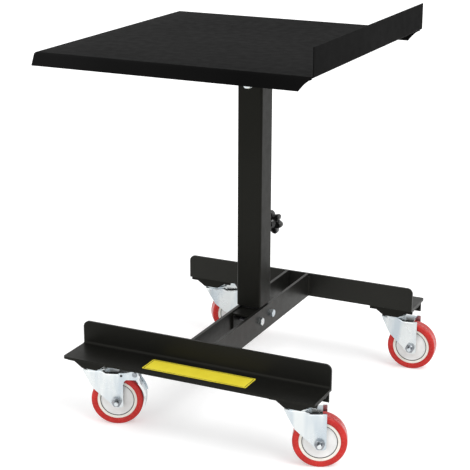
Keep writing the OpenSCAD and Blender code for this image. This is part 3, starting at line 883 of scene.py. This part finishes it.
def local_frame(corner):
    """Matrix from a caster's own frame, trail along +X and floor at 0, to the table's frame."""
    pivot = joint("swivel_" + corner)["pos_m"]
    axle = joint("roll_" + corner)["pos_m"]
    yaw = math.atan2(axle[1] - pivot[1], axle[0] - pivot[0])
    return shift(pivot[0], pivot[1], 0) @ Matrix.Rotation(yaw, 4, "Z")


# Sizes that all casters share, from one caster's joints and its race
PIVOT = Vector(joint("swivel_front_right")["pos_m"])
AXLE = Vector(joint("roll_front_right")["pos_m"])
TRAIL = (AXLE - PIVOT).xy.length
AXLE_Z = AXLE.z
RACE_LOW, RACE_HIGH = span("race_front_right")
RACE_R = (RACE_HIGH.x - RACE_LOW.x) / 2
RACE_HEIGHT = RACE_HIGH.z - RACE_LOW.z
CROWN = RACE_LOW.z
WHEEL_STEPS = 96
TYRE_STEPS = 120
FORK_HALF = 22 * MM
FORK_PLATE = 3 * MM
TYRE_HALF = 15 * MM
RIM_R = AXLE_Z - 12 * MM
GROOVE_R = RIM_R - 5.5 * MM
GUARD_R = GROOVE_R - 1.2 * MM
HUB_R = 11 * MM
AXLE_TIP = 6 * MM
RIVET_X = TRAIL + 35.5 * MM
RIVET_Z = AXLE_Z + 56.2 * MM


def curve_at(points, x):
    """Height of a polyline, given as (x, height) points, at x."""
    for (x0, z0), (x1, z1) in zip(points, points[1:]):
        if x <= x1:
            return mix(z0, z1, (x - x0) / (x1 - x0)) if x > x0 else z0
    return points[-1][1]


# The fork along its trail: where its crown and cheeks end, and from where on the cheeks are flat
CROWN_TAIL = TRAIL + 4.5 * MM
FORK_TAIL = TRAIL + 12.5 * MM
FORK_FRONT = -26 * MM
ROUND_FROM = 4 * MM
FLAT_FROM = 27 * MM
# How far the cheeks draw in ahead of the flat part, and how much of its width the round front loses
DRAWN_IN = 3.2 * MM
FRONT_LOSS = 0.62
# Step down from the crown's top to its tail, and the radius along the crown's sides
CROWN_DROP = 5 * MM
CROWN_BEND = 4.5 * MM


def cheek_edges(braked):
    """Lower and upper edge of a fork's cheek as (along, height) polylines."""
    foot = AXLE_Z - 12.8 * MM
    under = [
        (FORK_FRONT, CROWN - 4 * MM), (-6 * MM, AXLE_Z + 25.2 * MM), (8 * MM, AXLE_Z + 12.2 * MM),
        (TRAIL - 17.5 * MM, AXLE_Z + 0.7 * MM), (TRAIL - 9 * MM, foot + 4.5 * MM),
        (TRAIL - 4 * MM, foot), (TRAIL + 6.5 * MM, foot), (TRAIL + 10.5 * MM, foot + 1.4 * MM),
        (FORK_TAIL, foot + 5 * MM),
    ]
    over = [
        (FORK_FRONT, CROWN), (12 * MM, CROWN), (20 * MM, CROWN - CROWN_DROP),
        (FORK_TAIL, CROWN - CROWN_DROP),
    ]
    if braked:
        ear_under, ear_over = brake_ear()
        under += ear_under
        over += ear_over
    return under, over


def brake_ear():
    """The same edges where the cheek of a braked fork goes on behind the wheel to hold the rivet."""
    end = RIVET_X + 8 * MM
    low = RIVET_Z - 11 * MM
    high = RIVET_Z + 5 * MM
    under = [
        (FORK_TAIL + 0.1 * MM, AXLE_Z + 33 * MM), (FORK_TAIL + 2 * MM, low - 4 * MM),
        (FORK_TAIL + 6 * MM, low), (end - 5 * MM, low), (end - 1.5 * MM, low + 1.5 * MM),
        (end, low + 5 * MM),
    ]
    over = [
        (RIVET_X - 12 * MM, high - 1 * MM), (RIVET_X - 8 * MM, high), (end - 6 * MM, high),
        (end - 1.8 * MM, high - 1.8 * MM), (end, high - 6 * MM),
    ]
    return under, over


def fork_half(x):
    """Half the fork's width: the cheeks draw in ahead of the flat part, and the front is round in plan."""
    ahead = min(1.0, max(0.0, (FLAT_FROM - x) / FLAT_FROM))
    front = max(0.0, (ROUND_FROM - x) / (ROUND_FROM - FORK_FRONT))
    return (FORK_HALF - DRAWN_IN * ahead) * math.sqrt(1 - FRONT_LOSS * front ** 3)


def cheek_skin(side, stations, under, over):
    """One cheek from its lower edge up to the crown's bend, or to its own upper edge behind the crown."""
    rows = []
    for x in stations:
        top = curve_at(over, x) - (CROWN_BEND if x <= CROWN_TAIL else 0.0)
        low = min(curve_at(under, x), top - 0.5 * MM)
        rows.append([(x, side * fork_half(x), mix(low, top, k / 8)) for k in range(9)])
    return sheet_grid(rows if side < 0 else rows[::-1])


def crown_skin(stations, over):
    """The crown with the round bends along its sides."""
    rows = []
    for x in stations:
        edge = fork_half(x) - CROWN_BEND
        top = curve_at(over, x)
        bend = []
        for k in range(7):
            angle = math.radians(180 - 90 * k / 6)
            bend.append((
                -edge + CROWN_BEND * math.cos(angle),
                top - CROWN_BEND + CROWN_BEND * math.sin(angle),
            ))
        flat = [(mix(-edge, edge, k / 6), top) for k in range(1, 6)]
        section = bend + flat + [(-y, z) for y, z in reversed(bend)]
        rows.append([(x, y, z) for y, z in section])
    return sheet_grid(rows)


def fork_skin(braked):
    """One pressed yoke: a crown over two cheeks that narrow down to the axle."""
    under, over = cheek_edges(braked)
    stations = [x for x, _ in under + over]
    stations += [FLAT_FROM, CROWN_TAIL, CROWN_TAIL + 0.05 * MM]
    stations += [mix(FORK_FRONT, under[-1][0], k / 36) for k in range(37)]
    stations = sorted(set(stations))
    cheeks = [cheek_skin(side, stations, under, over) for side in (-1, 1)]
    crown = crown_skin([x for x in stations if x <= CROWN_TAIL], over)
    bm = joined([*cheeks, crown])
    seal_skin(bm, lambda face: face.calc_center_median().z - abs(face.calc_center_median().y))
    return bm


def brake_tongue():
    """Spring-steel brake tongue between the cheeks, above the tyre; its near-black colour is painted shade
    of the space between the cheeks.
    """
    front = CROWN_TAIL - 8 * MM
    half = 15 * MM
    sharp = 0.3 * MM
    blunt = 2 * MM
    outline = fillet([
        (front, CROWN - 9.5 * MM), (RIVET_X + 3 * MM, RIVET_Z - 4 * MM),
        (RIVET_X + 4 * MM, RIVET_Z + 0.5 * MM), (front, CROWN - 8.2 * MM),
    ], [sharp, blunt, blunt, sharp], 4)
    return prism(outline, -half, half)


def cheek_spots():
    """Small near-black discs on a braked fork's cheeks: painted shade of punched holes."""
    outline = [(0.1 * MM, 0.05 * MM), (2.0 * MM, 0.05 * MM), (2.6 * MM, 0.0), (0.1 * MM, -0.2 * MM)]
    along = TRAIL + 9.5 * MM
    height = CROWN - 10.5 * MM
    return joined([
        (lathe(outline, steps=24, closed=False), shift(along, side * FORK_HALF, height) @ place)
        for side, place in ((-1, TO_FRONT), (1, TO_REAR))
    ])


def race_dome():
    """Pressed race with a rolled rim and a raised collar, turned about the kingpin."""
    r = RACE_R
    bore = 6.08 * MM
    outline = [
        (bore, 0), (r - 0.6 * MM, 0), (r, 0.6 * MM), (r, 2.4 * MM), (r - 0.6 * MM, 3.0 * MM),
        (r - 4.5 * MM, 3.2 * MM), (r - 4.5 * MM, 4.8 * MM), (r - 1.2 * MM, 5.0 * MM),
        (r - 1.2 * MM, 6.0 * MM), (r - 2.2 * MM, 7.4 * MM), (r - 3.4 * MM, 9.4 * MM),
        (r - 5.2 * MM, 11.4 * MM), (r - 7.2 * MM, RACE_HEIGHT), (bore, RACE_HEIGHT),
    ]
    return lathe(outline, steps=72)


def tyre_ring():
    """Cast tyre with round shoulders, a flat tread and a faint parting line."""
    r = AXLE_Z
    half = TYRE_HALF
    side = [
        (RIM_R, half - 1.2 * MM), (RIM_R + 1.2 * MM, half - 0.5 * MM), (RIM_R + 3 * MM, half - 0.1 * MM),
        (r - 4.2 * MM, half), (r - 2.6 * MM, half - 0.25 * MM), (r - 1.4 * MM, half - 0.9 * MM),
        (r - 0.6 * MM, half - 1.9 * MM), (r - 0.15 * MM, half - 3.2 * MM), (r - 0.02 * MM, half - 5 * MM),
        (r, 0.6 * MM),
    ]
    parting_line = (r - 0.12 * MM, 0.0)
    outline = mirrored(side)
    outline.insert(len(side), parting_line)
    return lathe(outline, TYRE_STEPS)


def wheel_core():
    """Nylon wheel centre: rim, dished web, hub, and a groove beside the rim."""
    half = TYRE_HALF - 1.5 * MM
    hub = FORK_HALF - FORK_PLATE - 0.3 * MM
    bore = BOLT_R + 0.08 * MM
    side = [
        (bore, hub), (HUB_R - 2.4 * MM, hub), (HUB_R - 1.6 * MM, hub - 0.8 * MM),
        (HUB_R - 1.6 * MM, half + 0.6 * MM), (HUB_R, half - 0.4 * MM), (HUB_R, 4 * MM),
        (GROOVE_R - 3 * MM, 4 * MM), (GROOVE_R - 0.6 * MM, half - 3 * MM), (GROOVE_R, half - 0.6 * MM),
        (GROOVE_R + 0.6 * MM, half), (RIM_R - 0.7 * MM, half), (RIM_R, half - 0.5 * MM),
    ]
    return lathe(mirrored(side), WHEEL_STEPS)


def guard_disc():
    """Thread guard: a pressed disc with a raised rim and two shallow steps."""
    face = TYRE_HALF - 2.6 * MM
    r = GUARD_R
    back = face - 1.2 * MM
    return lathe([
        (HUB_R, back), (r, back), (r, face - 0.2 * MM), (r - 0.4 * MM, face), (r - 1.6 * MM, face),
        (r - 2.4 * MM, face - 0.5 * MM), (HUB_R + 7 * MM, face - 0.5 * MM), (HUB_R + 6 * MM, face),
        (HUB_R + 0.4 * MM, face), (HUB_R, face - 0.3 * MM),
    ], WHEEL_STEPS)


def groove_shade_rings():
    """Black rings at the bottom of the grooves beside the thread guards: painted shade of the grooves."""
    back = TYRE_HALF - 5.4 * MM
    lip_top = back + 3.2 * MM
    inner = GUARD_R - 2.5 * MM
    section = [
        (inner, back), (GROOVE_R + 0.2 * MM, back), (GROOVE_R - 0.1 * MM, lip_top),
        (GUARD_R + 0.1 * MM, lip_top), (inner, back + 0.8 * MM),
    ]
    return joined([lathe(section, WHEEL_STEPS), (lathe(section, WHEEL_STEPS), turn(180, "X"))])


def axle_parts():
    """Axle bolt with its head at the rear side and a locking nut at the front side."""
    collar = [
        (BOLT_R, 6 * MM), (8 * MM, 6 * MM), (8 * MM, 7.2 * MM), (7.4 * MM, HEX_NUT), (BOLT_R, HEX_NUT),
    ]
    at_front = shift(TRAIL, -FORK_HALF, AXLE_Z) @ TO_FRONT
    at_rear = shift(TRAIL, FORK_HALF, AXLE_Z) @ TO_REAR
    return [
        (hexagon(HEX_ACROSS, HEX_NUT - 1 * MM), at_front),
        (lathe(collar, steps=48), at_front),
        (threaded(BOLT_R, 0, HEX_NUT + AXLE_TIP - 0.5 * MM), at_front),
        (hexagon(HEX_ACROSS, HEX_HEAD), at_rear),
        (disc(BOLT_R, -FORK_HALF, FORK_HALF), shift(TRAIL, 0, AXLE_Z) @ TO_FRONT),
    ]


def axle_end():
    """Flat end of the axle bolt in the plain zinc, lighter than the zinc darkened as painted shade on the
    rest of the bolt.
    """
    return disc(BOLT_R - 0.9 * MM, HEX_NUT, HEX_NUT + AXLE_TIP, edge=0.4 * MM, steps=40)


def rivet_parts():
    """Brake rivet with a domed head on each side."""
    r = 5.2 * MM
    dome = [(0.1 * MM, 1.5 * MM), (2.4 * MM, 1.35 * MM), (4.2 * MM, 0.8 * MM), (r, 0.1 * MM), (r, 0)]
    parts = [(disc(3 * MM, -FORK_HALF, FORK_HALF), shift(RIVET_X, 0, RIVET_Z) @ TO_FRONT)]
    for side, place in ((-1, TO_FRONT), (1, TO_REAR)):
        head = lathe(dome, steps=32, closed=False)
        parts.append((head, shift(RIVET_X, side * FORK_HALF, RIVET_Z) @ place))
    return parts


def build_fork(corner, at):
    """The pieces that swivel but don't roll."""
    body = "fork_" + corner
    braked = corner in BRAKED
    piece("yoke_" + corner, fork_skin(braked), ZINC, body, ["fork_" + corner], place=at,
          sheet=FORK_PLATE, edge=0.5 * MM)
    if braked:
        piece("brake_tongue_" + corner, brake_tongue(), SHADE_BLACK, body,
              place=at @ TO_FRONT, edge=0.3 * MM)
        piece("cheek_spots_" + corner, cheek_spots(), SHADE_BLACK, body, place=at, sharp=30)
        keep("pedal_" + corner, ZINC, 0.5 * MM)
    piece("dome_" + corner, race_dome(), ZINC, body, ["race_" + corner],
          place=at @ shift(0, 0, CROWN), sharp=40)
    parts = axle_parts() + (rivet_parts() if braked else [])
    piece("axle_set_" + corner, joined(parts), SHADED_ZINC, body, ["axle_" + corner],
          place=at, sharp=FASTENER_SHARP)
    piece("axle_end_" + corner, axle_end(), ZINC, body,
          place=at @ shift(TRAIL, -FORK_HALF, AXLE_Z) @ TO_FRONT, sharp=FASTENER_SHARP)


def build_wheel(corner, at):
    """The pieces that roll, about the axle."""
    body = "wheel_" + corner
    discs = joined([guard_disc(), (guard_disc(), turn(180, "X"))])
    piece("tyre_cast_" + corner, tyre_ring(), RED, body, ["tyre_" + corner],
          place=at, sharp=60)
    piece("centre_" + corner, wheel_core(), CREAM, body, ["core_" + corner],
          place=at, sharp=35)
    piece("guard_discs_" + corner, discs, GREY, body, ["guards_" + corner],
          place=at, sharp=30)
    piece("groove_shade_rings_" + corner, groove_shade_rings(), SHADE_BLACK, body, place=at, sharp=30)


for corner in CORNERS:
    caster_place = local_frame(corner)
    build_fork(corner, caster_place)
    build_wheel(corner, caster_place @ shift(TRAIL, 0, AXLE_Z) @ TO_FRONT)


SCREW_HEAD = 5.3 * MM
SCREW_R = 4 * MM
# Distance of the screws from the plate's ends and sides
SCREW_FROM_END = 9.5 * MM
SCREW_FROM_SIDE = 11.2 * MM


def plate_screws(corner):
    """Four hexagon screws that hang from a caster's plate, each turned its own way."""
    low, high = span("caster_screws")
    plate_low, plate_high = span("plate_" + corner)
    pivot = joint("swivel_" + corner)["pos_m"]
    reach_x = (plate_high.x - plate_low.x) / 2 - SCREW_FROM_END
    reach_y = (plate_high.y - plate_low.y) / 2 - SCREW_FROM_SIDE
    parts = []
    for sx in (-1, 1):
        for sy in (-1, 1):
            at = shift(pivot[0] + sx * reach_x, pivot[1] + sy * reach_y, low.z + SCREW_HEAD)
            hex_turn = turn(17 * sx + 9 * sy, "Z")
            parts.append((hexagon(SCREW_ACROSS, SCREW_HEAD), at @ turn(180, "X") @ hex_turn))
            parts.append((disc(SCREW_R, 0, high.z - low.z - SCREW_HEAD), at))
    return parts


def kingpin(corner):
    """Kingpin with its round rivet head below."""
    low, high = span("kingpins")
    pivot = joint("swivel_" + corner)["pos_m"]
    head_r = 9 * MM
    head = 5 * MM
    pin_r = 6 * MM
    outline = [
        (0.1 * MM, 0.0), (head_r * 0.6, 0.4 * MM), (head_r * 0.9, 1.8 * MM), (head_r, 3.2 * MM),
        (head_r, head), (pin_r, head), (pin_r, high.z - low.z - 0.2 * MM),
    ]
    return lathe(outline, steps=40, closed=False), shift(pivot[0], pivot[1], low.z)


def caster_fixings():
    """The screws and kingpins of all casters."""
    screws = [part for corner in CORNERS for part in plate_screws(corner)]
    pins = [kingpin(corner) for corner in CORNERS]
    # The plate screws take the near-black metal, painted shade under the plates
    piece("caster_screws_detail", joined(screws), SHADOWED_STEEL, "base", ["caster_screws"],
          sharp=FASTENER_SHARP)
    piece("kingpins_detail", joined(pins), SHADED_ZINC, "base", ["kingpins"], sharp=40)


caster_fixings()


# ---------- stage, light and camera ----------

FLOOR_HALF = 60
FLOOR_THICK = 0.02
# How much the floor glows to the camera and in reflections, which keeps its shadow soft and pale
FLOOR_GLOW = 0.38
# Strength of the surround as a light; it is 1 to the camera and in reflections
SURROUND = 0.85


def either(tree, first, second):
    """A shader value that is 1 where the first or the second one is."""
    node = tree.nodes.new("ShaderNodeMath")
    node.operation = "MAXIMUM"
    tree.links.new(first, node.inputs[0])
    tree.links.new(second, node.inputs[1])
    return node.outputs[0]


def stage_floor():
    """A pale floor that keeps the object's shadow and shows nearly white to the camera."""
    bm = prism(rectangle(FLOOR_HALF, FLOOR_HALF), -FLOOR_THICK, 0.0)
    mesh = bpy.data.meshes.new("floor")
    bm.to_mesh(mesh)
    bm.free()
    floor = bpy.data.objects.new("floor", mesh)
    bpy.context.scene.collection.objects.link(floor)
    material = bpy.data.materials.new("floor_paper")
    material.use_nodes = True
    tree = material.node_tree
    shader = tree.nodes["Principled BSDF"]
    shader.inputs["Base Color"].default_value = (0.80, 0.80, 0.80, 1)
    shader.inputs["Roughness"].default_value = 0.9
    shader.inputs["Specular IOR Level"].default_value = 0.0
    shader.inputs["Emission Color"].default_value = (1, 1, 1, 1)
    rays = tree.nodes.new("ShaderNodeLightPath")
    seen = either(tree, rays.outputs["Is Camera Ray"], rays.outputs["Is Glossy Ray"])
    lift = tree.nodes.new("ShaderNodeMath")
    lift.operation = "MULTIPLY"
    lift.inputs[1].default_value = FLOOR_GLOW
    tree.links.new(seen, lift.inputs[0])
    tree.links.new(lift.outputs[0], shader.inputs["Emission Strength"])
    mesh.materials.append(material)


def world_light():
    """Soft grey surround that shows white to the camera and in reflections."""
    world = bpy.data.worlds.new("studio")
    bpy.context.scene.world = world
    world.use_nodes = True
    tree = world.node_tree
    background = tree.nodes["Background"]
    background.inputs["Color"].default_value = (1, 1, 1, 1)
    rays = tree.nodes.new("ShaderNodeLightPath")
    seen = either(tree, rays.outputs["Is Camera Ray"], rays.outputs["Is Glossy Ray"])
    white = either(tree, seen, rays.outputs["Is Transmission Ray"])
    strength = tree.nodes.new("ShaderNodeMapRange")
    strength.inputs["To Min"].default_value = SURROUND
    strength.inputs["To Max"].default_value = 1.0
    tree.links.new(white, strength.inputs["Value"])
    tree.links.new(strength.outputs["Result"], background.inputs["Strength"])


def toward(azimuth, elevation):
    """Direction from the object, in degrees; azimuth 0 is the front, 90 the right."""
    a = math.radians(azimuth)
    e = math.radians(elevation)
    return Vector((math.sin(a) * math.cos(e), -math.cos(a) * math.cos(e), math.sin(e)))


def sun(name, strength, spread, azimuth, elevation):
    """A soft sun that shines from that direction."""
    data = bpy.data.lights.new(name, "SUN")
    data.energy = strength
    data.angle = math.radians(spread)
    lamp = bpy.data.objects.new(name, data)
    bpy.context.scene.collection.objects.link(lamp)
    lamp.rotation_euler = toward(azimuth, elevation).to_track_quat("Z", "Y").to_euler()


# Camera: focal length and sensor in millimetres, place in metres, direction in degrees
LENS = 108.15
SENSOR = 36
CAMERA_PLACE = (1.11867, -2.44191, 1.17997)
CAMERA_AZIMUTH = 25.43
CAMERA_ELEVATION = 17.43
CAMERA_ROLL = 0.20


def camera():
    """Camera at the viewing angle, framed on the object by its distance and aim."""
    data = bpy.data.cameras.new("camera")
    data.lens = LENS
    data.sensor_width = SENSOR
    data.clip_end = 200
    cam = bpy.data.objects.new("camera", data)
    bpy.context.scene.collection.objects.link(cam)
    azimuth = math.radians(CAMERA_AZIMUTH)
    back = toward(CAMERA_AZIMUTH, CAMERA_ELEVATION)
    right = Vector((math.cos(azimuth), math.sin(azimuth), 0))
    level = Matrix((right, back.cross(right), back)).transposed().to_4x4()
    cam.matrix_world = shift(*CAMERA_PLACE) @ level @ turn(CAMERA_ROLL, "Z")
    bpy.context.scene.camera = cam


stage_floor()
world_light()
sun("key", strength=1.3, spread=30, azimuth=70, elevation=50)
sun("fill", strength=0.6, spread=50, azimuth=0, elevation=20)
camera()
bpy.context.scene.view_settings.view_transform = "Standard"
